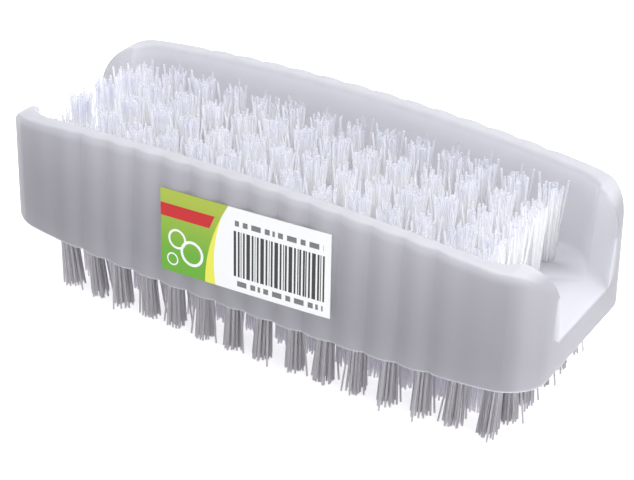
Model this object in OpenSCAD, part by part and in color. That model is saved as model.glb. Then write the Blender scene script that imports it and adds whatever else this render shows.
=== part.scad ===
/* [Body] */
// Length of the moulding, end face to end face
body_l = 95.3; // [90:0.5:110]
// Width across the flute crests at the underside, mid length
base_w = 40.8; // [39:0.2:46]
// Width across the flute crests at rim level, mid length
rim_w = 37; // [36:0.2:41]
// Height from the underside to the rim, mid length
body_h = 21.75; // [20:0.25:25]
// How far the rim has come down at the two ends
rim_drop = 2.65; // [0.5:0.05:3]
// Thickness of the floor slab between the two bristle fields
floor_t = 5.1; // [4.8:0.1:6]
// Thickness of the side walls
wall_t = 2.8; // [2.4:0.1:3.2]
// How much the underside narrows from mid length to the ends, each side
base_bow = 3.6; // [2.4:0.1:4]
// How much the rim narrows from mid length to the ends, each side
rim_bow = 1.3; // [0.5:0.1:2]
// Length of the plan corner at the underside
base_corner_l = 6.4; // [5:0.1:8]
// Depth of the plan corner at the underside
base_corner_w = 5.1; // [4:0.1:5.6]
// Length of the plan corner at the rim
rim_corner_l = 7.4; // [5:0.1:8]
// Depth of the plan corner at the rim
rim_corner_w = 6.9; // [5:0.1:7.2]
// Radius of the rim where it turns down to the end openings
end_r = 5; // [3:0.25:6]
// Rounding of the rim's inner and outer edge
rim_r = 0.8; // [0.6:0.1:1.3]
// Rounding of the lower and end edges
edge_r = 0.4; // [0.2:0.05:0.5]
// Rounding of the floor's edge in the end openings
lip_r = 0.8; // [0.4:0.1:1.2]
// Fillet between the walls and the floor
fillet_r = 1.3; // [0.6:0.1:1.8]

/* [End openings] */
// Width of an end opening at its outer face, at floor level
opening_w = 16; // [13:0.5:17]
// Width of an end opening where it meets the channel, at floor level
opening_inner_w = 21.4; // [19:0.2:23]
// How much further apart the opening's sides stand for each unit of height
opening_draft = 0.12; // [0:0.01:0.15]
// Length of an end opening, which is the thickness of the end posts
post_l = 4.5; // [3.5:0.1:5]
// Length of the channel's rounded inner corners
inner_corner_l = 5.2; // [4:0.1:6]

/* [Flutes] */
// Number of flutes along each side
flute_n = 12; // [8:1:13]
// Distance from one groove to the next
flute_p = 5.22; // [4.5:0.02:5.4]
// Depth of the grooves below the crests
flute_d = 0.5; // [0.2:0.05:0.8]
// Distance of the flutes' middle from the middle of the body
flute_shift = 0.8; // [-1:0.1:1]

/* [Upper bristles] */
// Columns of tufts along the channel
upper_n = 14; // [8:1:14]
// Distance from the left posts to the first column
upper_left = 3.25; // [2.8:0.05:6]
// Distance from the last column to the right posts, which is the bare landing
upper_right = 7.4; // [2.8:0.05:12]
// Distance from the foot of a side wall to the outermost row, at mid length
upper_side = 4.5; // [3.9:0.05:6]
// Free length of the upper bristles
upper_l = 13.1; // [10:0.1:15]

/* [Lower bristles] */
// Columns of tufts along the underside
lower_n = 15; // [8:1:15]
// Distance from the left end face to the first column
lower_left = 9.6; // [6.7:0.1:12]
// Distance from the last column to the right end face
lower_right = 7.3; // [6.7:0.1:12]
// Distance from the crest line to the outermost row, at mid length
lower_side = 6.15; // [6:0.05:8]
// Free length of the lower bristles
lower_l = 11.4; // [9:0.1:14]

/* [Tufts] */
// Diameter of a tuft hole
hole_d = 2.7; // [2.4:0.1:2.8]
// Depth of a tuft hole
hole_depth = 2.1; // [1.8:0.1:2.2]
// Clearance round a tuft in its hole, and round an anchor in its tuft
tuft_clear = 0.05; // [0.03:0.01:0.08]
// Width of one strand
strand_w = 0.8; // [0.6:0.05:0.9]
// Clearance between a strand and the side of its hole
strand_clear = 0.15; // [0.1:0.01:0.2]
// How far the tip of an upper strand stands out from its root
upper_fan = 0.4; // [0.2:0.05:0.8]
// How far the tip of a lower strand stands out from its root
lower_fan = 0.65; // [0.3:0.05:0.8]
// How far the outermost tufts lean out at their tips
tuft_lean = 0.5; // [0:0.05:0.6]
// Most that a strand falls short of the bristle length
strand_short = 0.8; // [0.2:0.05:1.2]
// Depth that the longest lower tips are cut flat where the brush rests
cut_depth = 0.5; // [0.2:0.05:0.6]

/* [Anchors] */
// Thickness of the flat anchor wire
anchor_t = 0.3; // [0.2:0.05:0.4]
// Height of the flat anchor wire
anchor_h = 1.1; // [0.8:0.05:1.2]
// Thickness of the fold of filament under an anchor
fold_t = 0.4; // [0.3:0.05:0.5]

/* [Label] */
// Length of the label
label_l = 30.2; // [20:0.2:40]
// Height of the label
label_h = 13.6; // [8:0.2:14]
// Thickness of the label
label_t = 0.15; // [0.1:0.01:0.25]
// Gap of glue between the flute crests and the label
label_gap = 0.05; // [0.03:0.01:0.1]
// Distance of the label's middle from the middle of the body
label_x = 0.85; // [-4:0.05:4]
// Height of the label's middle above the underside
label_z = 10.55; // [10:0.05:11.5]
// Tilt of the label, in degrees
label_tilt = 2.7; // [-4:0.1:4]

/* [Hidden] */

// Rows of tufts, counted from the near side
upper_rows = 5;
lower_rows = 6;
// Strands shown for each tuft, and the sides of a strand
strands = 3;
strand_sides = 4;
// Power of the barrel curve that the sides follow along the length
bow_power = 2.85;
// Power of the curve of an opening's side, through the thickness of its post
post_power = 0.4;
// Share by which an outermost row is drawn in at the body's ends, and the power of its curve
row_bow_share = 0.2;
row_bow_power = 4;
// Share by which the fan of a strand varies, and the most that a tuft is turned, in degrees
fan_vary_share = 0.3;
tuft_turn = 40;
// Stations along one flute, sides of a tuft hole, and stations along the label
flute_steps = 6;
hole_sides = 24;
label_steps = 16;
// Flat left on the rim between its two roundings
rim_flat = 0.2;
// Overrun of every cut
cut = 1;

half_l = body_l / 2;
post_x = half_l - post_l;
floor_z = lower_l + floor_t;

// Value that lies a share t of the way from a to b
function mix(a, b, t) = a + (b - a) * t;
// Drop of a quarter ellipse of the given length and depth, a distance d along it
function quarter(d, length, depth) =
    let (s = min(1, max(0, d / length))) depth * (1 - sqrt(1 - s * s));
// Depth of the flutes below the crest line at station x
function groove(x) =
    let (f = (x - flute_shift) / flute_p + flute_n / 2, g = f - floor(f))
    abs(f - flute_n / 2) < (flute_n + 1) / 2 ? flute_d * (1 - 4 * g * (1 - g)) : 0;
// Half width of the crest line at station x, a height z above the underside
function crest_y(x, z) =
    let (t = z / body_h, corner_l = mix(base_corner_l, rim_corner_l, t))
    mix(base_w, rim_w, t) / 2
    - mix(base_bow, rim_bow, t) * pow(abs(x) / half_l, bow_power)
    - quarter(abs(x) - half_l + corner_l, corner_l, mix(base_corner_w, rim_corner_w, t));
// Half width of an end opening
function opening_y(x, z) =
    mix(opening_w, opening_inner_w, pow(max(0, half_l - abs(x)) / post_l, post_power)) / 2
    + opening_draft * (z - floor_t);
// Half width of the channel, with its end openings
function channel_y(x, z) =
    let (side = crest_y(x, z) - wall_t)
    abs(x) > post_x ? opening_y(x, z)
    : side - quarter(abs(x) - post_x + inner_corner_l, inner_corner_l,
                     side - opening_y(post_x, z));
// Height of the rim above the underside
function rim_z(x) =
    body_h - rim_drop * pow(x / half_l, 2) - quarter(abs(x) - half_l + end_r, end_r, end_r);

// Points of an arc of radius r round the point c, from angle a to angle b
function arc(c, r, a, b, n) =
    [for (i = [0:n]) c + r * [cos(mix(a, b, i / n)), sin(mix(a, b, i / n))]];

// Half of the moulding's cross-section at station x, as points [y, z] above the underside
function half_section(x) =
    let (e = quarter(abs(x) - half_l + edge_r, edge_r, edge_r),
         top = rim_z(x) - e,
         wide = crest_y(x, top) - groove(x) - channel_y(x, top) - 2 * e,
         r = min(rim_r, (wide - min(rim_flat, wide / 2)) / 2),
         low = e + edge_r, high = top - r, mid = (low + high) / 2,
         deck = floor_t - quarter(abs(x) - half_l + lip_r, lip_r, lip_r))
    concat(
        arc([crest_y(x, low) - groove(x) - low, low], edge_r, -90, 0, 2),
        [[crest_y(x, mid) - groove(x) - e, mid]],
        arc([crest_y(x, high) - groove(x) - e - r, high], r, 0, 90, 4),
        arc([channel_y(x, high) + e + r, high], r, 90, 180, 4),
        arc([channel_y(x, deck + fillet_r) + e - fillet_r, deck + fillet_r],
            fillet_r, 0, -90, 3));
// The whole cross-section as points in space, once round from the underside
function section(x) =
    let (half = half_section(x), n = len(half))
    concat([for (p = half) [x, p[0], p[1] + lower_l]],
           [for (i = [1:n]) [x, -half[n - i][0], half[n - i][1] + lower_l]]);

// Stations of one end, as distances from the end face
edge_steps = [for (a = [0, 30, 60, 90]) edge_r * (1 - cos(a))];
post_shares = [0.15, 0.25, 0.37, 0.52, 0.75, 0.98];
end_steps = concat(edge_steps, post_l * post_shares,
                   [for (a = [90:-15:0]) post_l + inner_corner_l * (1 - sin(a))]);
flute_start = flute_shift - flute_p * (flute_n + 1) / 2;
flute_count = (flute_n + 1) * flute_steps;
flute_x = [for (i = [0:flute_count]) flute_start + flute_p * i / flute_steps];
end_reach = post_l + inner_corner_l + flute_p / flute_steps;
stations = concat(
    [for (d = end_steps) d - half_l],
    [for (x = flute_x) if (abs(x) < half_l - end_reach) x],
    [for (i = [1:len(end_steps)]) half_l - end_steps[len(end_steps) - i]]);

// A closed skin over rings of as many points each, counterclockwise seen from the last ring.
// cap holds the faces that close the first ring, and mirrored they close the last one
module skin(rings, cap) {
    n = len(rings[0]);
    m = len(rings);
    sides = [for (j = [0:m - 2], i = [0:n - 1])
        let (k = (i + 1) % n, a = j * n + i, b = j * n + k, c = b + n, d = a + n)
        each [[a, c, b], [a, d, c]]];
    last = [for (f = cap) [for (i = [1:len(f)]) (m - 1) * n + f[len(f) - i]]];
    polyhedron(points = [for (r = rings) each r], faces = concat(sides, cap, last));
}
// Cap of a convex ring of n points
function plain_cap(n) = [[for (i = [0:n - 1]) i]];
// Rungs between the outer and the inner side of a post that starts at point s and has k points
function post_cap(s, k) = [for (i = [0:k / 2 - 2])
    each [[s + i, s + i + 1, s + k - 2 - i], [s + i, s + k - 2 - i, s + k - 1 - i]]];
// Cap of the moulding's end: two posts, and the slab between them
function end_cap(k) = concat(post_cap(0, k), post_cap(k, k),
                             [[0, k - 1, k], [0, k, 2 * k - 1]]);

// Side step of row j from the middle, in a field whose outermost rows stand at y = outer.
// Towards the ends the outer rows follow the narrowing sides more than the inner ones
function row_y(x, j, rows, outer) =
    let (s = 2 * j / (rows - 1) - 1)
    outer * s * (1 - row_bow_share * pow(x / half_l, row_bow_power) * s * s);
// Places of the tuft holes: column i and row j of a field
function upper_place(i, j) =
    let (x = mix(upper_left - post_x, post_x - upper_right, i / (upper_n - 1)))
    [x, row_y(x, j, upper_rows, channel_y(0, floor_t) - upper_side), floor_z];
function lower_place(i, j) =
    let (x = mix(lower_left - half_l, half_l - lower_right, i / (lower_n - 1)))
    [x, row_y(x, j, lower_rows, base_w / 2 - lower_side), lower_l];

// Moves what is drawn upwards from a face to an upper or a lower hole
module at_upper(i, j) { translate(upper_place(i, j)) children(); }
module at_lower(i, j) { translate(lower_place(i, j)) mirror([0, 0, 1]) children(); }

module tuft_hole() {
    translate([0, 0, -hole_depth]) cylinder(h = hole_depth + cut, d = hole_d, $fn = hole_sides);
}

module body() color("GhostWhite") difference() {
    skin([for (x = stations) section(x)], end_cap(len(half_section(0))));
    for (i = [0:upper_n - 1], j = [0:upper_rows - 1]) at_upper(i, j) tuft_hole();
    for (i = [0:lower_n - 1], j = [0:lower_rows - 1]) at_lower(i, j) tuft_hole();
}

// Length that an anchor can have across its round hole
anchor_l = 2 * sqrt(pow(hole_d / 2, 2) - pow(anchor_t / 2, 2)) - tuft_clear;
module anchor(slack) {
    translate([-anchor_t / 2 - slack, -anchor_l / 2 - slack, fold_t - hole_depth - slack])
        cube([anchor_t + 2 * slack, anchor_l + 2 * slack, anchor_h + 2 * slack]);
}

// A value from -1 to 1 that looks random, for column i, row j and strand k
function vary(i, j, k) = sin(127 * i + 311 * j + 75 * k + 31 * i * j * (k + 1));

// One strand, from its root in the tuft to its tip, with a flat side turned outwards
module strand(root, tip, turn) {
    ring = [for (a = [1:strand_sides])
        let (t = turn + 180 * (2 * a - 1) / strand_sides)
        strand_w / sqrt(2) * [cos(t), sin(t), 0]];
    skin([[for (p = ring) root + p], [for (p = ring) tip + p]], plain_cap(strand_sides));
}

// A tuft folded over its anchor, drawn upwards from the face that holds it
module tuft(i, j, lean, fan, length, longest) {
    root_r = hole_d / 2 - strand_w / sqrt(2) - strand_clear;
    sink = (hole_depth - fold_t - anchor_h) / 2;
    difference() {
        translate([0, 0, tuft_clear - hole_depth])
            cylinder(h = hole_depth - tuft_clear, d = hole_d - 2 * tuft_clear, $fn = hole_sides);
        anchor(tuft_clear);
    }
    for (k = [0:strands - 1]) {
        turn = 360 * k / strands + tuft_turn * vary(i, j, 0);
        out = [cos(turn), sin(turn), 0];
        reach = root_r + fan * (1 + fan_vary_share * vary(i, j, k + 3)) / (1 + fan_vary_share);
        end = min(longest, length - strand_short * (1 + vary(i, j, k + 7)) / 2);
        strand(root_r * out - [0, 0, sink], reach * out + lean + [0, 0, end], turn);
    }
}

// Lean of the tuft at a place in its field
function lean_at(place) =
    tuft_lean * [pow(place[0] / half_l, 3), 2 * place[1] / base_w, 0];

module upper_tufts_row(row) color("WhiteSmoke") for (i = [0:upper_n - 1])
    at_upper(i, row - 1)
        tuft(i, row, lean_at(upper_place(i, row - 1)), upper_fan, upper_l, upper_l);

module lower_tufts_row(row) color("Gainsboro") for (i = [0:lower_n - 1])
    at_lower(i, row - 1)
        tuft(i, row + upper_rows, lean_at(lower_place(i, row - 1)), lower_fan,
             lower_l + cut_depth, lower_l);

module upper_anchors_row(row) color("Silver") for (i = [0:upper_n - 1])
    at_upper(i, row - 1) anchor(0);

module lower_anchors_row(row) color("Silver") for (i = [0:lower_n - 1])
    at_lower(i, row - 1) anchor(0);

// Point of the label's face, a along it and b up it, a distance off from the crests
function label_point(a, b, off) =
    let (x = label_x + a * cos(label_tilt) - b * sin(label_tilt),
         z = label_z + a * sin(label_tilt) + b * cos(label_tilt))
    [x, -crest_y(x, z) - off, z + lower_l];

module label() color("YellowGreen") {
    skin([for (i = [0:label_steps]) let (a = label_l * (i / label_steps - 1 / 2))
        [label_point(a, -label_h / 2, label_gap),
         label_point(a, 0, label_gap),
         label_point(a, label_h / 2, label_gap),
         label_point(a, label_h / 2, label_gap + label_t),
         label_point(a, 0, label_gap + label_t),
         label_point(a, -label_h / 2, label_gap + label_t)]], plain_cap(6));
}

body();
label();
upper_tufts_row(1);  // upper_tufts_row_1
upper_tufts_row(2);  // upper_tufts_row_2
upper_tufts_row(3);  // upper_tufts_row_3
upper_tufts_row(4);  // upper_tufts_row_4
upper_tufts_row(5);  // upper_tufts_row_5
lower_tufts_row(1);  // lower_tufts_row_1
lower_tufts_row(2);  // lower_tufts_row_2
lower_tufts_row(3);  // lower_tufts_row_3
lower_tufts_row(4);  // lower_tufts_row_4
lower_tufts_row(5);  // lower_tufts_row_5
lower_tufts_row(6);  // lower_tufts_row_6
upper_anchors_row(1);  // upper_anchors_row_1
upper_anchors_row(2);  // upper_anchors_row_2
upper_anchors_row(3);  // upper_anchors_row_3
upper_anchors_row(4);  // upper_anchors_row_4
upper_anchors_row(5);  // upper_anchors_row_5
lower_anchors_row(1);  // lower_anchors_row_1
lower_anchors_row(2);  // lower_anchors_row_2
lower_anchors_row(3);  // lower_anchors_row_3
lower_anchors_row(4);  // lower_anchors_row_4
lower_anchors_row(5);  // lower_anchors_row_5
lower_anchors_row(6);  // lower_anchors_row_6
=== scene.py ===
import math
import random

import bmesh
import bpy
from mathutils import Matrix, Quaternion, Vector


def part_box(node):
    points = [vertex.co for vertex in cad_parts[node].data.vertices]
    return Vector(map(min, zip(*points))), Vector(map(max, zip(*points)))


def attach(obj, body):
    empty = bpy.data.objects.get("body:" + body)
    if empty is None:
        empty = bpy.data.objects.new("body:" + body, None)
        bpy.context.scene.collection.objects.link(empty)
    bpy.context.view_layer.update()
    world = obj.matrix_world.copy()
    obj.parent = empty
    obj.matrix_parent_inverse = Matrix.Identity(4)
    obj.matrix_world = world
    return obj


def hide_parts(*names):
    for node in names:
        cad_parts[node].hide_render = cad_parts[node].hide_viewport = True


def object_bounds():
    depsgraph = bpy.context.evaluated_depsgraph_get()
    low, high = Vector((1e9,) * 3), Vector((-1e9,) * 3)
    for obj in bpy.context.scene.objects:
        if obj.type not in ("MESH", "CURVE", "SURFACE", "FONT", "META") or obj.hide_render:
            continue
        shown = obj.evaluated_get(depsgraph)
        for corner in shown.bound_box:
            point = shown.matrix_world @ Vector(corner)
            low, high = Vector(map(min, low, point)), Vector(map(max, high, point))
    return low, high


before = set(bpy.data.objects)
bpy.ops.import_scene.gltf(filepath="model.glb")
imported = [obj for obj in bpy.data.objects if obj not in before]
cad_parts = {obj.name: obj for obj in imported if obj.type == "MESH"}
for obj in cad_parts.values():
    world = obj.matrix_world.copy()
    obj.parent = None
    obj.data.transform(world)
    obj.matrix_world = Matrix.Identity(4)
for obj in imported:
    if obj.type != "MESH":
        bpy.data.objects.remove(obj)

mm = 0.001
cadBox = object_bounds()
lowest, highest = Vector(cadBox[0]), Vector(cadBox[1])
halfLength = highest.x
halfWidth = highest.y
print("frame loaded:", len(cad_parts), "nodes")

# Camera, first, as the photograph was taken
cameraView = {
    "aim": Vector((7.7, -9.94, 21.4)) * mm,   # the point in the middle of the picture
    "azimuth": math.radians(31.5),            # round from the near side towards the right end
    "elevation": math.radians(31.4),
    "roll": math.radians(0.8),
    "distance": 285.9 * mm,
    "lens": 107.6,
    "sensor": 36.0,
    "clipStart": 10.0 * mm,
}


def makeCamera():
    a, e = cameraView["azimuth"], cameraView["elevation"]
    back = Vector((math.sin(a) * math.cos(e), -math.cos(a) * math.cos(e), math.sin(e)))
    data = bpy.data.cameras.new("camera")
    data.lens = cameraView["lens"]
    data.sensor_width = cameraView["sensor"]
    data.clip_start = cameraView["clipStart"]
    camera = bpy.data.objects.new("camera", data)
    bpy.context.scene.collection.objects.link(camera)
    camera.location = cameraView["aim"] + cameraView["distance"] * back
    camera.rotation_mode = "QUATERNION"
    turn = (-back).to_track_quat("-Z", "Y")
    camera.rotation_quaternion = turn @ Quaternion((0, 0, 1), cameraView["roll"])
    bpy.context.scene.camera = camera


makeCamera()
print("camera set")


# Small helpers for meshes
def newPiece(name, bm, *materials):
    mesh = bpy.data.meshes.new(name)
    bm.to_mesh(mesh)
    bm.free()
    piece = bpy.data.objects.new(name, mesh)
    bpy.context.scene.collection.objects.link(piece)
    for material in materials:
        mesh.materials.append(material)
    return piece


def mergedCopy(node, weld=0.002 * mm):
    bm = bmesh.new()
    bm.from_mesh(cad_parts[node].data)
    bmesh.ops.remove_doubles(bm, verts=bm.verts, dist=weld)
    return bm


def smoothBelow(bm, angle):
    for face in bm.faces:
        face.smooth = True
    for edge in bm.edges:
        edge.smooth = edge.calc_face_angle(math.pi) < angle


# Small helpers for materials
def newMaterial(name):
    material = bpy.data.materials.new(name)
    material.use_nodes = True
    tree = material.node_tree
    shader = tree.nodes["Principled BSDF"]
    return material, tree, shader


def addNode(tree, kind, **settings):
    node = tree.nodes.new(kind)
    for key, value in settings.items():
        setattr(node, key, value)
    return node


def noise(tree, coords, scale, detail):
    node = addNode(tree, "ShaderNodeTexNoise")
    node.inputs["Scale"].default_value = scale
    node.inputs["Detail"].default_value = detail
    tree.links.new(coords, node.inputs["Vector"])
    return node.outputs["Fac"]


def ramp(tree, value, *stops):
    node = addNode(tree, "ShaderNodeValToRGB")
    elements = node.color_ramp.elements
    while len(elements) < len(stops):
        elements.new(0.5)
    for element, (place, colour) in zip(elements, stops):
        element.position = place
        element.color = (*colour, 1.0)
    tree.links.new(value, node.inputs["Fac"])
    return node.outputs["Color"]


def spread(tree, value, low, high):
    node = addNode(tree, "ShaderNodeMapRange")
    node.inputs["To Min"].default_value = low
    node.inputs["To Max"].default_value = high
    tree.links.new(value, node.inputs["Value"])
    return node.outputs["Result"]


def shareBetween(tree, value, limits, low=0.0, high=1.0, course="SMOOTHSTEP"):
    node = addNode(tree, "ShaderNodeMapRange", interpolation_type=course)
    node.inputs["From Min"].default_value = limits[0]
    node.inputs["From Max"].default_value = limits[1]
    node.inputs["To Min"].default_value = low
    node.inputs["To Max"].default_value = high
    tree.links.new(value, node.inputs["Value"])
    return node.outputs["Result"]


def maths(tree, operation, *values):
    node = addNode(tree, "ShaderNodeMath", operation=operation)
    for socket, value in zip(node.inputs, values):
        if isinstance(value, (int, float)):
            socket.default_value = value
        else:
            tree.links.new(value, socket)
    return node.outputs["Value"]


def mixColours(tree, factor, below, above):
    node = addNode(tree, "ShaderNodeMix", data_type="RGBA")
    for socket, value in ((node.inputs[0], factor), (node.inputs[6], below), (node.inputs[7], above)):
        if isinstance(value, tuple):
            socket.default_value = (*value, 1.0)
        elif isinstance(value, (int, float)):
            socket.default_value = value
        else:
            tree.links.new(value, socket)
    return node.outputs[2]


def bump(tree, shader, height, distance):
    node = addNode(tree, "ShaderNodeBump")
    node.inputs["Distance"].default_value = distance
    tree.links.new(height, node.inputs["Height"])
    tree.links.new(node.outputs["Normal"], shader.inputs["Normal"])


def objectCoords(tree):
    return addNode(tree, "ShaderNodeTexCoord").outputs["Object"]


def separated(tree, coords):
    node = addNode(tree, "ShaderNodeSeparateXYZ")
    tree.links.new(coords, node.inputs["Vector"])
    return node.outputs


def stretched(tree, coords, scale):
    node = addNode(tree, "ShaderNodeMapping")
    node.inputs["Scale"].default_value = scale
    tree.links.new(coords, node.inputs["Vector"])
    return node.outputs["Vector"]


def letLightThrough(tree, shader, colour, share):
    thin = addNode(tree, "ShaderNodeBsdfTranslucent")
    tree.links.new(colour, thin.inputs["Color"])
    both = addNode(tree, "ShaderNodeMixShader")
    both.inputs["Fac"].default_value = share
    tree.links.new(shader.outputs["BSDF"], both.inputs[1])
    tree.links.new(thin.outputs["BSDF"], both.inputs[2])
    tree.links.new(both.outputs["Shader"], tree.nodes["Material Output"].inputs["Surface"])


# The moulding
moulding = {
    "paleColour": (0.82, 0.825, 0.85),
    "deepColour": (0.80, 0.805, 0.83),
    "cloudStops": (0.30, 0.70),              # where the noise is all deep and all pale
    "paintedShadeGrey": (0.492, 0.482, 0.506),    # painted shade: the outward-facing walls and ends are drawn greyer than the tops and the inside
    "paintedFluteLight": (0.555, 0.545, 0.57),       # painted light: a paler band on each flute, where its slope faces the light
    "paintedEndShade": (0.43, 0.42, 0.443),        # and painted shade, greyer still, on the thick ends of the walls
    "endsFrom": (25.0 * mm, 46.0 * mm),
    "endsTurn": (0.75, 0.95),
    "flutePitch": 5.22 * mm,
    "fluteLightShift": 27.05 * mm,                 # lays the painted light bands on the flutes' slopes that face right
    "paintedShadeTurn": (0.05, 0.50),               # how far a normal turns outwards for the painted shade
    "paintedShadeRise": (0.98, 0.60),               # and how little it turns up, so faces turned up stay pale as if lit
    "paintedHighlightFall": (-0.75, -0.35),             # or down, so the lower rounding stays pale as a painted highlight
    "paintedEdgeHighlight": (0.15 * mm, 0.60 * mm),     # painted highlight: the light line along the lower edge, where the grey is left out
    "rimDrop": 2.65 * mm,                    # from mid length to the ends
    "paintedRimLight": (0.1 * mm, 2.0 * mm),         # depths below the rim over which the painted shade sets in, leaving a painted light band at the rim
    "rimGrey": 0.55,                         # share of the painted shade on the rim's outer rounding
    "topPaintedShade": 0.20,                         # and painted shade on its top
    "topDepth": (0.2 * mm, 1.2 * mm),
    "roughness": (0.16, 0.26),
    "milkiness": 0.62,                       # share of the light that passes into the wall
    "refraction": 1.49,
    "smoothBelow": math.radians(33),
    "normalWeight": 60,
    "flowMarks": 45.0,                       # cloudy marks of the melt, per metre
    "drawnMarks": (900.0, 900.0, 40.0),      # marks drawn up the walls by the mould, per metre
    "skinGrain": 2600.0,                     # fine grain of the mould's surface, per metre
    "grainDepth": 0.006 * mm,
}


# Where the painted shade goes: outward-facing walls are greyed as if in shade, and the tops are left pale as
# if lit
def paintedShadeShare(tree, along, height):
    marked = addNode(tree, "ShaderNodeAttribute", attribute_name="paintedShadeSide").outputs["Fac"]
    alongSquared = maths(tree, "MULTIPLY", along, along)
    rim = maths(tree, "MULTIPLY_ADD", alongSquared, -moulding["rimDrop"] / halfLength ** 2, highest.z)
    belowRim = maths(tree, "SUBTRACT", rim, height)
    aboveFoot = maths(tree, "SUBTRACT", height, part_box("body")[0].z)
    # a painted light band just below the rim, and painted shade on the rim's top
    glow = shareBetween(tree, belowRim, moulding["paintedRimLight"], low=moulding["rimGrey"])
    # painted highlight line along the lower edge
    foot = shareBetween(tree, aboveFoot, moulding["paintedEdgeHighlight"])
    top = shareBetween(tree, belowRim, moulding["topDepth"], low=moulding["topPaintedShade"], high=0.0)
    walls = maths(tree, "MULTIPLY", maths(tree, "MULTIPLY", marked, glow), foot)
    return maths(tree, "MAXIMUM", walls, top)


# The grey of the painted shade, with painted light bands on the flutes and darker painted shade at the wall
# ends
def paintedShadeColours(tree, along):
    ends = addNode(tree, "ShaderNodeAttribute", attribute_name="paintedEndShadeShare").outputs["Fac"]
    perMetre = 2 * math.pi / moulding["flutePitch"]
    start = math.radians(90) + perMetre * moulding["fluteLightShift"]
    ripple = maths(tree, "SINE", maths(tree, "MULTIPLY_ADD", along, perMetre, start))
    band = maths(tree, "MULTIPLY_ADD", ripple, 0.5, 0.5)    # from 0 to 1
    grey = mixColours(tree, band, moulding["paintedShadeGrey"], moulding["paintedFluteLight"])
    return mixColours(tree, ends, grey, moulding["paintedEndShade"])


def mouldedPlastic():
    material, tree, shader = newMaterial("mouldedPlastic")
    coords = objectCoords(tree)
    parts = separated(tree, coords)
    clouds = noise(tree, coords, moulding["flowMarks"], 4.0)
    drawn = noise(tree, stretched(tree, coords, moulding["drawnMarks"]), 1.0, 2.0)
    grain = noise(tree, coords, moulding["skinGrain"], 2.0)
    deep, pale = moulding["cloudStops"]
    colour = ramp(tree, clouds, (deep, moulding["deepColour"]), (pale, moulding["paleColour"]))
    # painted shade on the outer walls, mixed over the plastic's own colour
    outer = paintedShadeShare(tree, parts["X"], parts["Z"])
    colour = mixColours(tree, outer, colour, paintedShadeColours(tree, parts["X"]))
    tree.links.new(colour, shader.inputs["Base Color"])
    tree.links.new(spread(tree, drawn, *moulding["roughness"]), shader.inputs["Roughness"])
    bump(tree, shader, grain, moulding["grainDepth"])
    shader.inputs["IOR"].default_value = moulding["refraction"]
    letLightThrough(tree, shader, colour, moulding["milkiness"])
    return material


def eased(value, limits):
    share = min(1.0, max(0.0, (value - limits[0]) / (limits[1] - limits[0])))
    return share * share * (3 - 2 * share)


# Stores per vertex, from the normals, where the painted shade and the painted end shade go
def markPaintedShade(bm):
    bm.normal_update()
    sides = bm.verts.layers.float.new("paintedShadeSide")
    ends = bm.verts.layers.float.new("paintedEndShadeShare")
    for vert in bm.verts:
        aside = vert.normal.y * math.copysign(1.0, vert.co.y)
        endwards = vert.normal.x * math.copysign(1.0, vert.co.x)
        turned = eased(max(aside, endwards), moulding["paintedShadeTurn"])
        turned *= eased(vert.normal.z, moulding["paintedHighlightFall"])
        vert[sides] = turned * eased(vert.normal.z, moulding["paintedShadeRise"])
        # painted shade, darker towards both ends of the outer walls
        vert[ends] = eased(abs(vert.co.x), moulding["endsFrom"]) * eased(aside, moulding["endsTurn"])


def makeMoulding():
    bm = mergedCopy("body")
    markPaintedShade(bm)
    smoothBelow(bm, moulding["smoothBelow"])
    piece = newPiece("moulding", bm, mouldedPlastic())
    even = piece.modifiers.new("evenNormals", "WEIGHTED_NORMAL")
    even.keep_sharp = True
    even.weight = moulding["normalWeight"]
    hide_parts("body")
    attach(piece, "root")


makeMoulding()
print("moulding made")

# The tufts: bundles of nylon filament, which in the brush are each folded over an anchor; here each filament
# is grown up from its anchor's place
filament = {
    "width": 0.33 * mm,
    "sides": 5,
    "stretches": 3,
    "perTuft": 38,
    "bundleRadius": 1.17 * mm,
    "rootDepth": 0.9 * mm,         # how far a filament is followed into its hole
    "turnAbout": 0.2,              # a filament's place round the bundle varies by this angle
    "leanShare": 0.8,              # share of the fan that is straight lean
    "bowShare": 0.4,               # and the most that is a bow
    "strayShares": (0.5, 0.9),
    "sharpFrom": math.radians(80),
}
tuftKinds = {
    "upper": {"rows": 5, "length": 12.8 * mm, "fan": 1.76, "uneven": 0.75 * mm,
              "stray": 0.9 * mm, "strays": 4, "wander": 0.17 * mm, "taller": 0.7 * mm,
              "trim": 0.25 * mm, "kinds": 14, "seed": 11},
    "lower": {"rows": 6, "length": 11.4 * mm, "fan": 1.40, "uneven": 0.45 * mm,
              "stray": 1.0 * mm, "strays": 2, "wander": 0.08 * mm, "taller": 0.0,
              "trim": 0.0, "kinds": 16, "seed": 23},
}
goldenAngle = math.pi * (3 - math.sqrt(5))

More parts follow.
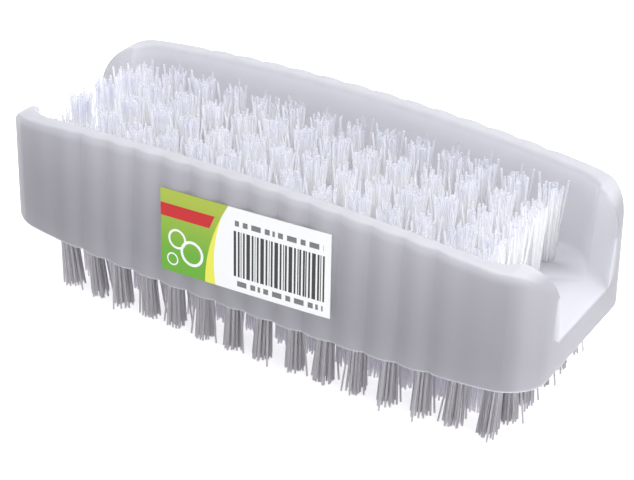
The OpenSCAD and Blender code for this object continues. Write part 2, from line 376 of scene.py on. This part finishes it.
# Painted shade: the nylon's colour is made greyer towards the long sides, towards the tips and towards both
# ends, and on the cut ends
nylons = {
    "upperNylon": {"colour": (0.997, 0.998, 1.0), "roughness": 0.5, "milkiness": 0.92,
                   # painted shade on the upper tips, which take the most light
                   "tips": {"depth": 4.0 * mm, "colour": (0.93, 0.935, 0.965)}},
    # painted shade: the cut ends are drawn darker than the nylon
    "upperCutEnds": {"colour": (0.58, 0.58, 0.62), "roughness": 0.6, "milkiness": 0.2},
    "lowerNylon": {"colour": (0.99, 0.985, 1.0), "roughness": 0.5, "milkiness": 0.8,
                   # painted shade on the outer rows, towards the long sides
                   "sides": {"from": (9.5 * mm, 12.5 * mm), "colour": (0.82, 0.812, 0.825)},
                   # painted shade towards both ends
                   "ends": {"from": (36.5 * mm, 39.0 * mm), "colour": (0.76, 0.75, 0.77)}},
    # painted shade: the cut ends are drawn darker, and darker still towards the long sides
    "lowerCutEnds": {"colour": (0.80, 0.80, 0.82), "roughness": 0.6, "milkiness": 0.2,
                     "sides": {"from": (0.0, halfWidth), "colour": (0.70, 0.70, 0.72)}},
}
nylonSkin = {
    "refraction": 1.53,
    "gloss": 0.2,
    "clouds": 320.0,               # per metre
    "cloudShare": 0.06,
    "cloudColour": (0.98, 0.98, 1.0),
    "grain": 1500.0,               # per metre
    "roughnessSpread": 0.06,
}


def nylon(name, top):
    material, tree, shader = newMaterial(name)
    kind = nylons[name]
    coords = objectCoords(tree)
    parts = separated(tree, coords)
    colour = kind["colour"]
    # painted shade towards the long sides
    if "sides" in kind:
        aside = maths(tree, "ABSOLUTE", parts["Y"])
        share = shareBetween(tree, aside, kind["sides"]["from"], course="LINEAR")
        colour = mixColours(tree, share, colour, kind["sides"]["colour"])
    # painted shade towards the tips
    if "tips" in kind:
        share = shareBetween(tree, parts["Z"], (top - kind["tips"]["depth"], top))
        colour = mixColours(tree, share, colour, kind["tips"]["colour"])
    # painted shade towards both ends
    if "ends" in kind:
        share = shareBetween(tree, maths(tree, "ABSOLUTE", parts["X"]), kind["ends"]["from"])
        colour = mixColours(tree, share, colour, kind["ends"]["colour"])
    clouds = maths(tree, "MULTIPLY", noise(tree, coords, nylonSkin["clouds"], 3.0), nylonSkin["cloudShare"])
    colour = mixColours(tree, clouds, colour, nylonSkin["cloudColour"])
    tree.links.new(colour, shader.inputs["Base Color"])
    low = kind["roughness"] - nylonSkin["roughnessSpread"]
    high = kind["roughness"] + nylonSkin["roughnessSpread"]
    rough = spread(tree, noise(tree, coords, nylonSkin["grain"], 2.0), low, high)
    tree.links.new(rough, shader.inputs["Roughness"])
    shader.inputs["IOR"].default_value = nylonSkin["refraction"]
    shader.inputs["Specular IOR Level"].default_value = nylonSkin["gloss"]
    letLightThrough(tree, shader, colour, kind["milkiness"])
    return material


def growFilament(bm, root, lean, bow, length):
    below = Matrix.Translation(root - Vector((0, 0, filament["rootDepth"])))
    ring = bmesh.ops.create_circle(bm, segments=filament["sides"], radius=filament["width"] / 2,
                                   cap_ends=False, matrix=below)["verts"]
    edges = list({edge for vert in ring for edge in vert.link_edges})
    steps = filament["stretches"]
    whole = length + filament["rootDepth"]
    before = Vector((0, 0, 0))
    for step in range(1, steps + 1):
        t = step / steps
        place = lean * t + bow * (t * t) + Vector((0, 0, whole * t))
        grown = bmesh.ops.extrude_edge_only(bm, edges=edges)["geom"]
        ring = [part for part in grown if isinstance(part, bmesh.types.BMVert)]
        edges = [part for part in grown if isinstance(part, bmesh.types.BMEdge)
                 and all(vert in ring for vert in part.verts)]
        bmesh.ops.translate(bm, verts=ring, vec=place - before)
        before = place
    bmesh.ops.contextual_create(bm, geom=edges)


def makeTuftKind(kind, draw):
    bm = bmesh.new()
    count = filament["perTuft"]
    for i in range(count):
        share = math.sqrt((i + 0.5) / count)
        turn = i * goldenAngle + draw.uniform(-filament["turnAbout"], filament["turnAbout"])
        out = Vector((math.cos(turn), math.sin(turn), 0))
        root = out * share * filament["bundleRadius"]
        fan = (kind["fan"] - 1) * filament["bundleRadius"] * share
        wander = Vector((draw.gauss(0, 1), draw.gauss(0, 1), 0)) * kind["wander"]
        lean = out * fan * filament["leanShare"] + wander
        bow = out * fan * draw.uniform(0.0, filament["bowShare"])
        length = kind["length"] - abs(draw.gauss(0, 1)) * kind["uneven"]
        if i >= count - kind["strays"]:
            lean += out * draw.uniform(*filament["strayShares"]) * kind["stray"]
            length = kind["length"] + kind["taller"] * draw.random()
        growFilament(bm, root, lean, bow, length)
    for face in bm.faces:
        face.smooth = len(face.verts) == 4
        face.material_index = 0 if face.smooth else 1      # the cut ends
    for edge in bm.edges:
        edge.smooth = edge.calc_face_angle(math.pi) < filament["sharpFrom"]
    bmesh.ops.recalc_face_normals(bm, faces=bm.faces)
    mesh = bpy.data.meshes.new("tuftKind")
    bm.to_mesh(mesh)
    bm.free()
    return mesh


def tuftPlaces(anchorNode):
    bm = mergedCopy(anchorNode)
    left = set(bm.verts)
    places = []
    while left:
        group, reach = set(), [left.pop()]
        while reach:
            vert = reach.pop()
            group.add(vert)
            for edge in vert.link_edges:
                other = edge.other_vert(vert)
                if other in left:
                    left.discard(other)
                    reach.append(other)
        middle = sum((vert.co for vert in group), Vector()) / len(group)
        places.append(middle)
    bm.free()
    return sorted(places, key=lambda place: place.x)


# How far tips lean outwards at the left end, at the right end, there in the front row, and at the sides
leanOut = {
    "upper": {"left": -0.3 * mm, "right": -0.3 * mm, "rightFront": -0.3 * mm, "aside": 0.1 * mm},
    "lower": {"left": -2.2 * mm, "right": 0.1 * mm, "rightFront": -1.0 * mm, "aside": 0.45 * mm},
}
leanVaries = 0.12 * mm
firstColumn = {                    # upper tufts at the left end stand higher, by a share in each row
    "from": (35 * mm, 38 * mm),
    "taller": {2: 0.16, 3: 0.13, 4: 0.08},
}


def tuftPlacing(side, row, face, middle, draw):
    up = 1 if side == "upper" else -1
    kind, outwards = tuftKinds[side], leanOut[side]
    end = "left" if middle.x < 0 else "rightFront" if row == 1 else "right"
    endward = outwards[end] * middle.x * abs(middle.x) / halfLength ** 2
    lean = Vector((endward, outwards["aside"] * middle.y / halfWidth, 0))
    lean += Vector((draw.gauss(0, 1), draw.gauss(0, 1), 0)) * leanVaries
    tilt = Matrix.Identity(4)
    tilt[0][2] = lean.x / kind["length"]
    tilt[1][2] = up * lean.y / kind["length"]
    turn = Matrix.Rotation(draw.uniform(0, 2 * math.pi), 4, "Z")
    stretch = 1.0
    if side == "upper":
        stretch += firstColumn["taller"].get(row, 0.0) * eased(-middle.x, firstColumn["from"])
    flip = Matrix.Diagonal((1, up, up * stretch, 1))        # half a turn about X, for the underside
    place = Matrix.Translation((middle.x, middle.y, face + draw.gauss(0, 1) * kind["trim"]))
    return place @ flip @ tilt @ turn


def makeTuftRow(side, row, face, kinds, materials, draw):
    bm = bmesh.new()
    for middle in tuftPlaces(f"{side}_anchors_row_{row}"):
        known = len(bm.verts)
        bm.from_mesh(draw.choice(kinds))
        bm.verts.ensure_lookup_table()
        placing = tuftPlacing(side, row, face, middle, draw)
        bmesh.ops.transform(bm, matrix=placing, verts=bm.verts[known:])
    floorLine = lowest.z
    for vert in bm.verts:
        vert.co.z = max(vert.co.z, floorLine)
    piece = newPiece(f"{side}TuftsRow{row}", bm, *materials)
    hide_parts(f"{side}_tufts_row_{row}")
    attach(piece, "root")


hole = {"depth": 2.1 * mm, "fold": 0.4 * mm, "anchor": 1.1 * mm}    # fold and anchor lie on its ground


def faceHeights():
    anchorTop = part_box("upper_anchors_row_1")[1].z
    return {"upper": anchorTop + hole["depth"] - hole["fold"] - hole["anchor"],
            "lower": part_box("body")[0].z}


def makeTufts():
    faces = faceHeights()
    top = faces["upper"] + tuftKinds["upper"]["length"]
    for side, kind in tuftKinds.items():
        materials = [nylon(f"{side}{part}", top) for part in ("Nylon", "CutEnds")]
        draw = random.Random(kind["seed"])
        kinds = [makeTuftKind(kind, draw) for i in range(kind["kinds"])]
        for row in range(1, kind["rows"] + 1):
            makeTuftRow(side, row, faces[side], kinds, materials, draw)
        print(side, "tufts made")


makeTufts()

# The anchors keep their CAD shape
wire = {
    "streaks": (9000.0, 600.0, 9000.0),      # drawn along its length, per metre
    "darkStop": (0.2, (0.50, 0.50, 0.51)),
    "paleStop": (0.8, (0.66, 0.66, 0.67)),
    "roughness": (0.25, 0.45),
}


def drawnSteel():
    material, tree, shader = newMaterial("drawnSteel")
    streaks = noise(tree, stretched(tree, objectCoords(tree), wire["streaks"]), 1.0, 2.0)
    tree.links.new(ramp(tree, streaks, wire["darkStop"], wire["paleStop"]), shader.inputs["Base Color"])
    tree.links.new(spread(tree, streaks, *wire["roughness"]), shader.inputs["Roughness"])
    shader.inputs["Metallic"].default_value = 1.0
    return material


def dressAnchors():
    steel = drawnSteel()
    for name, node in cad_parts.items():
        if "anchors" in name:
            node.data.materials.clear()
            node.data.materials.append(steel)


dressAnchors()
print("anchors dressed")

# The label: a printed film with a plain design, without words. Its places are shares of the film,
# from -0.5 to 0.5 along and up, and the coloured field's edge is where "along" meets a curve.
label = {
    "tilt": math.radians(2.7),
    "length": 30.2 * mm,
    "height": 13.6 * mm,
    "green": (0.15, 0.45, 0.028),
    "paleGreen": (0.45, 0.55, 0.06),
    "greenFade": (-0.4, 1.1),
    "yellow": (0.90, 0.88, 0.10),
    "white": (1.0, 1.0, 0.975),
    "ink": (0.04, 0.04, 0.04),
    "smallInk": (0.20, 0.20, 0.20),
    "red": (0.62, 0.012, 0.015),
    "curveRise": 0.14,
    "curveFoot": 0.23,
    "yellowUpTo": 0.85,
    "yellowWidth": 0.075,
    "roughness": (0.29, 0.42),
    "gloss": 0.25,
    "smoothBelow": math.radians(30),
    "fibre": 4000.0,               # per metre
    "fibreShare": 0.02,
    "fibreColour": (0.45, 0.45, 0.45),
    "waviness": 600.0,             # per metre
    "waveDepth": 0.01 * mm,
}
stripe = {"past": (-0.40, -0.035), "up": (0.17, 0.33)}      # past the curve, and up the film
bars = {"along": (-0.057, 0.467), "up": (-0.32, 0.23), "waves": (37.0, 61.0), "start": 1.0, "level": -0.2}
dashes = {"along": (-0.05, 0.46), "waves": (15.0, 24.0), "level": -0.3,
          "lines": ({"up": (0.29, 0.355), "start": 0.5}, {"up": (-0.435, -0.37), "start": 2.0})}
rings = {"hole": 0.78,
         "places": ((-0.40, -0.08, 0.055), (-0.31, -0.21, 0.07), (-0.43, -0.34, 0.035))}


def within(tree, value, limits):
    return maths(tree, "MULTIPLY", maths(tree, "GREATER_THAN", value, limits[0]),
                 maths(tree, "LESS_THAN", value, limits[1]))


def wave(tree, value, turns, start):
    return maths(tree, "SINE", maths(tree, "MULTIPLY_ADD", value, turns * 2 * math.pi, start))


def broken(tree, value, marks, start):
    coarse, fine = marks["waves"]
    both = maths(tree, "ADD", wave(tree, value, fine, 0.0), wave(tree, value, coarse, start))
    return maths(tree, "GREATER_THAN", both, marks["level"])


def printedRing(tree, along, up, x, z, radius):
    dx = maths(tree, "MULTIPLY", maths(tree, "SUBTRACT", along, x), label["length"])
    dz = maths(tree, "MULTIPLY", maths(tree, "SUBTRACT", up, z), label["height"])
    farSquared = maths(tree, "MULTIPLY_ADD", dx, dx, maths(tree, "MULTIPLY", dz, dz))
    far = maths(tree, "SQRT", farSquared)
    disc = maths(tree, "LESS_THAN", far, radius * label["length"])
    middle = maths(tree, "LESS_THAN", far, rings["hole"] * radius * label["length"])
    return maths(tree, "SUBTRACT", disc, middle)


def filmPlaces(tree):
    low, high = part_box("label")
    place = addNode(tree, "ShaderNodeMapping", vector_type="TEXTURE")
    place.inputs["Location"].default_value = (low + high) / 2
    place.inputs["Rotation"].default_value = (0, -label["tilt"], 0)
    place.inputs["Scale"].default_value = (label["length"], 1.0, label["height"])
    tree.links.new(objectCoords(tree), place.inputs["Vector"])
    parts = separated(tree, place.outputs["Vector"])
    return parts["X"], parts["Z"]


def printedFields(tree, along, up):
    height = maths(tree, "ADD", up, 0.5)                 # 0 at the lower edge, 1 at the upper
    rise = maths(tree, "MULTIPLY", maths(tree, "MULTIPLY", height, height), label["curveRise"])
    past = maths(tree, "SUBTRACT", along, maths(tree, "SUBTRACT", rise, label["curveFoot"]))
    wide = maths(tree, "MULTIPLY", maths(tree, "SUBTRACT", label["yellowUpTo"], height), label["yellowWidth"])
    colour = mixColours(tree, maths(tree, "LESS_THAN", past, wide), label["white"], label["yellow"])
    fade = spread(tree, height, *label["greenFade"])
    shade = mixColours(tree, fade, label["green"], label["paleGreen"])
    colour = mixColours(tree, maths(tree, "LESS_THAN", past, 0.0), colour, shade)
    inStripe = maths(tree, "MULTIPLY", within(tree, past, stripe["past"]), within(tree, up, stripe["up"]))
    return mixColours(tree, inStripe, colour, label["red"])


def printedMarks(tree, along, up, colour):
    block = maths(tree, "MULTIPLY", within(tree, along, bars["along"]), within(tree, up, bars["up"]))
    inBars = maths(tree, "MULTIPLY", broken(tree, along, bars, bars["start"]), block)
    colour = mixColours(tree, inBars, colour, label["ink"])
    for line in dashes["lines"]:
        pattern = broken(tree, along, dashes, line["start"])
        row = maths(tree, "MULTIPLY", pattern, within(tree, up, line["up"]))
        inLine = maths(tree, "MULTIPLY", row, within(tree, along, dashes["along"]))
        colour = mixColours(tree, inLine, colour, label["smallInk"])
    for x, z, radius in rings["places"]:
        colour = mixColours(tree, printedRing(tree, along, up, x, z, radius), colour, label["white"])
    return colour


def printedFilm():
    material, tree, shader = newMaterial("printedFilm")
    along, up = filmPlaces(tree)
    colour = printedMarks(tree, along, up, printedFields(tree, along, up))
    coords = objectCoords(tree)
    fibre = noise(tree, coords, label["fibre"], 2.0)
    faint = maths(tree, "MULTIPLY", fibre, label["fibreShare"])
    tree.links.new(mixColours(tree, faint, colour, label["fibreColour"]), shader.inputs["Base Color"])
    tree.links.new(spread(tree, fibre, *label["roughness"]), shader.inputs["Roughness"])
    shader.inputs["Specular IOR Level"].default_value = label["gloss"]
    bump(tree, shader, noise(tree, coords, label["waviness"], 2.0), label["waveDepth"])
    return material


def makeLabel():
    bm = mergedCopy("label")
    smoothBelow(bm, label["smoothBelow"])
    piece = newPiece("labelFilm", bm, printedFilm())
    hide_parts("label")
    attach(piece, "root")


makeLabel()
print("label made")

# Floor, world and lamps
studio = {
    "floorSize": 6.0,
    "floorColour": 0.86,           # what the floor sends back to the object
    "floorGlow": 0.64,             # share of the floor's look that stays white in a shadow
    "worldLight": (0.55, 0.56, 0.61),
    "overhead": {"place": (0.20, 0.22, 0.85), "size": 1.0, "power": 11.3},
    "side": {"place": (0.70, -0.20, 0.30), "size": 0.35, "power": 1.1},
    "bounces": 64,                 # light wanders far between pale filaments
}


def cameraSees(tree):
    path = addNode(tree, "ShaderNodeLightPath")
    either = maths(tree, "MAXIMUM", path.outputs["Is Camera Ray"], path.outputs["Is Glossy Ray"])
    return maths(tree, "MAXIMUM", either, path.outputs["Is Transmission Ray"])


def makeFloor():
    bm = bmesh.new()
    bmesh.ops.create_grid(bm, x_segments=4, y_segments=4, size=studio["floorSize"] / 2)
    material = bpy.data.materials.new("paleFloor")
    material.use_nodes = True
    tree = material.node_tree
    tree.nodes.clear()
    lit = addNode(tree, "ShaderNodeBsdfDiffuse")
    lit.inputs["Color"].default_value = (studio["floorColour"],) * 3 + (1.0,)
    glow = addNode(tree, "ShaderNodeEmission")
    glow.inputs["Strength"].default_value = studio["floorGlow"]
    both = addNode(tree, "ShaderNodeAddShader")
    tree.links.new(lit.outputs[0], both.inputs[0])
    tree.links.new(glow.outputs[0], both.inputs[1])
    pick = addNode(tree, "ShaderNodeMixShader")
    tree.links.new(cameraSees(tree), pick.inputs["Fac"])
    tree.links.new(lit.outputs[0], pick.inputs[1])
    tree.links.new(both.outputs[0], pick.inputs[2])
    out = addNode(tree, "ShaderNodeOutputMaterial")
    tree.links.new(pick.outputs[0], out.inputs["Surface"])
    floor = newPiece("floor", bm, material)


def makeWorld():
    world = bpy.data.worlds.new("studioWorld")
    world.use_nodes = True
    tree = world.node_tree
    tree.nodes.clear()
    seen = addNode(tree, "ShaderNodeBackground")
    seen.inputs["Color"].default_value = (1.0, 1.0, 1.0, 1.0)
    fill = addNode(tree, "ShaderNodeBackground")
    fill.inputs["Color"].default_value = (*studio["worldLight"], 1.0)
    pick = addNode(tree, "ShaderNodeMixShader")
    tree.links.new(cameraSees(tree), pick.inputs["Fac"])
    tree.links.new(fill.outputs[0], pick.inputs[1])
    tree.links.new(seen.outputs[0], pick.inputs[2])
    out = addNode(tree, "ShaderNodeOutputWorld")
    tree.links.new(pick.outputs[0], out.inputs["Surface"])
    bpy.context.scene.world = world


def makeLamp(name):
    values = studio[name]
    data = bpy.data.lights.new(name, "AREA")
    data.size = values["size"]
    data.energy = values["power"]
    lamp = bpy.data.objects.new(name, data)
    bpy.context.scene.collection.objects.link(lamp)
    lamp.location = values["place"]
    lamp.rotation_mode = "QUATERNION"
    lamp.rotation_quaternion = (-Vector(values["place"])).to_track_quat("-Z", "Y")


makeFloor()
makeWorld()
makeLamp("overhead")
makeLamp("side")
bpy.context.scene.view_settings.view_transform = "Standard"
bpy.context.scene.cycles.max_bounces = studio["bounces"]
bpy.context.scene.cycles.diffuse_bounces = studio["bounces"]
bpy.context.scene.cycles.transmission_bounces = studio["bounces"]
print("studio made")
